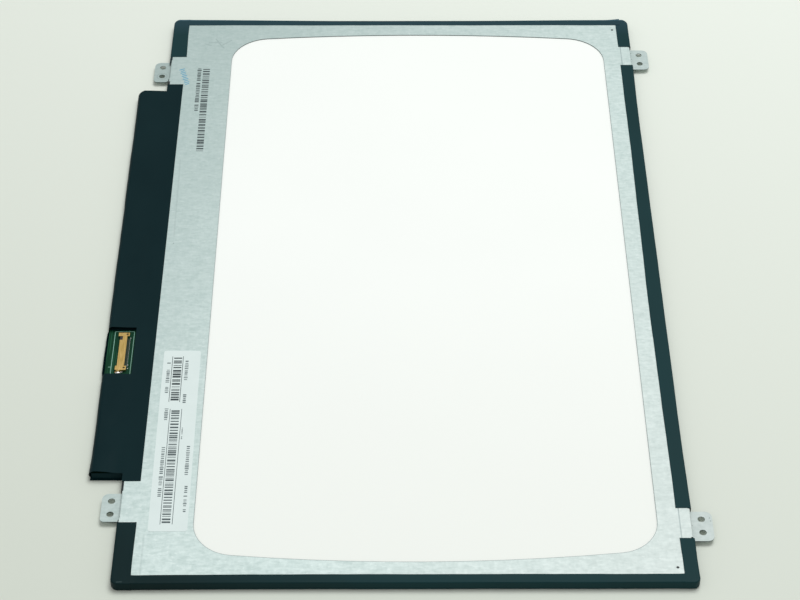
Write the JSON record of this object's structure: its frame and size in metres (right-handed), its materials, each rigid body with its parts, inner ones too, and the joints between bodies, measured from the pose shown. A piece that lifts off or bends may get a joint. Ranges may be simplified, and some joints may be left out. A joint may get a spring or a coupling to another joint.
{
  "type": "laptop screen panel",
  "caption": "Slim rectangular laptop display panel seen from its rear: steel plate with a bowed window, black taped edges, folded screw tabs and a film-covered board flap.",
  "frame": {"origin": "centre of the body's outline on the screen's face", "axes": "+Z out of the rear, +Y along the long side, -X towards the control board's edge"},
  "size_m": [0.2124, 0.3204, 0.0039],
  "materials": {
    "zinc_steel": "satin zinc-coated sheet",
    "white_film": "smooth white film",
    "black_tape": "black polyester tape",
    "black_film": "black insulating film",
    "black_plastic": "moulded polycarbonate",
    "glass": "thin display glass",
    "polariser": "anti-glare polariser film",
    "clear_film": "clear optical film",
    "clear_plate": "clear moulded light guide",
    "board_green": "green solder mask",
    "flex_amber": "polyimide flexible circuit",
    "chip_black": "moulded chip package",
    "lamp_yellow": "phosphor lamp",
    "connector_metal": "plated copper alloy",
    "connector_plastic": "moulded insulator",
    "ceramic": "ceramic chip part",
    "label_paper": "white film sticker"
  },
  "bodies": {
    "root": {"front_polariser": "polariser", "rear_polariser": "polariser", "colour_filter_glass": "glass", "tft_glass": "glass", "rim_tape": "black_tape", "moulded_frame": "black_plastic", "upper_prism_sheet": "clear_film", "lower_prism_sheet": "clear_film", "diffuser_sheet": "clear_film", "light_guide": "clear_plate", "reflector_sheet": "white_film", "led_flex": "flex_amber", "leds": "lamp_yellow", "rear_plate": "zinc_steel", "board_cover_film": "black_film", "ledge_film": "black_film", "control_board": "board_green", "driver_films": "flex_amber", "driver_chips": "chip_black", "connector_housing": "connector_plastic", "connector_shell": "connector_metal", "connector_contacts": "connector_metal", "timing_chip": "chip_black", "memory_chip": "chip_black", "power_chip": "chip_black", "backlight_chip": "chip_black", "power_coils": "chip_black", "capacitors": "ceramic", "resistors": "chip_black", "label": "label_paper", "edge_tape_right": "black_tape", "edge_tape_far": "black_tape", "edge_tape_near": "black_tape", "edge_tape_left_far": "black_tape", "edge_tape_left_near": "black_tape"}
  },
  "joints": []
}
